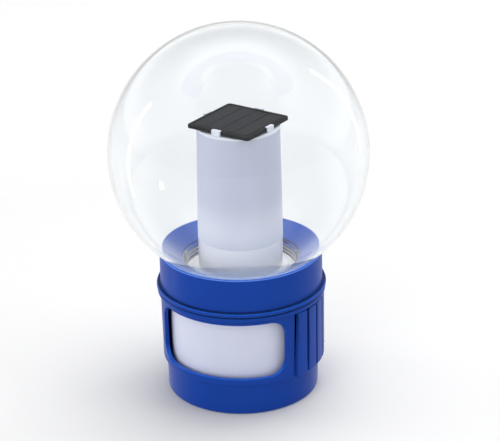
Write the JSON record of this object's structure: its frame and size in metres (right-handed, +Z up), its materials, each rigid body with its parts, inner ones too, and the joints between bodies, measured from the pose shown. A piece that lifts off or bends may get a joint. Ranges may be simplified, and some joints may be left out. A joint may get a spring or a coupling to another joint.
{
  "type": "floating globe light",
  "caption": "Clear globe with a solar light unit inside, screwed onto a pool tablet dispenser with a turning windowed sleeve.",
  "frame": {"origin": "centre of the base, on the surface that the light stands on", "axes": "+Z up through the globe; the windows of the sleeve face -Y and +Y at rest, its grip faces +X"},
  "size_m": [0.19, 0.19, 0.28],
  "materials": {
    "clear_plastic": "clear, polished, very thin tint",
    "blue_plastic": "satin moulded plastic, royal blue",
    "white_canister": "satin moulded plastic, cool white",
    "white_gloss": "glossy moulded plastic, white",
    "frosted_white": "frosted, lets light through",
    "grey_rubber": "soft cap, mid grey",
    "black_rubber": "black seal rubber",
    "steel": "stainless",
    "battery_sleeve": "plain green sleeve",
    "black_plastic": "black moulded plastic",
    "lead_skin": "red and black lead covering",
    "green_board": "green lacquered board",
    "lamp_resin": "clear lamp resin",
    "foam": "soft black foam",
    "panel_black": "dark resin",
    "cell_dark": "dark cells under resin"
  },
  "bodies": {
    "dispenser": {"collar": "blue_plastic", "canister": "white_canister", "pivot_screw": "steel", "pivot_washer": "steel"},
    "sleeve": {"outer_sleeve": "blue_plastic"},
    "neck_ring": {"neck_gasket": "black_rubber"},
    "globe_unit": {"globe": "clear_plastic", "light_base": "white_gloss", "base_oring": "black_rubber", "base_cover": "white_gloss", "cover_gasket": "black_rubber", "cover_screws": "steel", "battery": "battery_sleeve", "battery_contacts": "steel", "switch_body": "black_plastic", "switch_leads": "lead_skin", "circuit_board": "green_board", "board_parts": "black_plastic", "board_screws": "steel", "led_lamps": "lamp_resin", "panel_leads": "lead_skin", "diffuser_tube": "frosted_white", "panel_tray": "white_gloss", "panel_pad": "foam", "solar_panel": "panel_black", "solar_cells": "cell_dark"},
    "button": {"power_button": "grey_rubber"}
  },
  "joints": [
    {"name": "sleeve_turn", "type": "hinge", "parent": "dispenser", "child": "sleeve", "pos_m": [0, 0, 0], "axis": [0, 0, 1], "range_deg": [0, 90]},
    {"name": "globe_lift", "type": "slide", "parent": "dispenser", "child": "neck_ring", "axis": [0, 0, 1], "range_m": [0, 0.01201]},
    {"name": "globe_turn", "type": "hinge", "parent": "neck_ring", "child": "globe_unit", "pos_m": [0, 0, 0], "axis": [0, 0, 1], "range_deg": [0, 1440]},
    {"name": "button_press", "type": "slide", "parent": "globe_unit", "child": "button", "axis": [0, 0, 1], "range_m": [0, 0.0015], "stiffness_N_per_m": 400, "springref_m": -0.001}
  ],
  "couplings": [
    {"joint": "globe_lift", "follows": "globe_turn", "m_per_rad": 0.00047746}
  ]
}
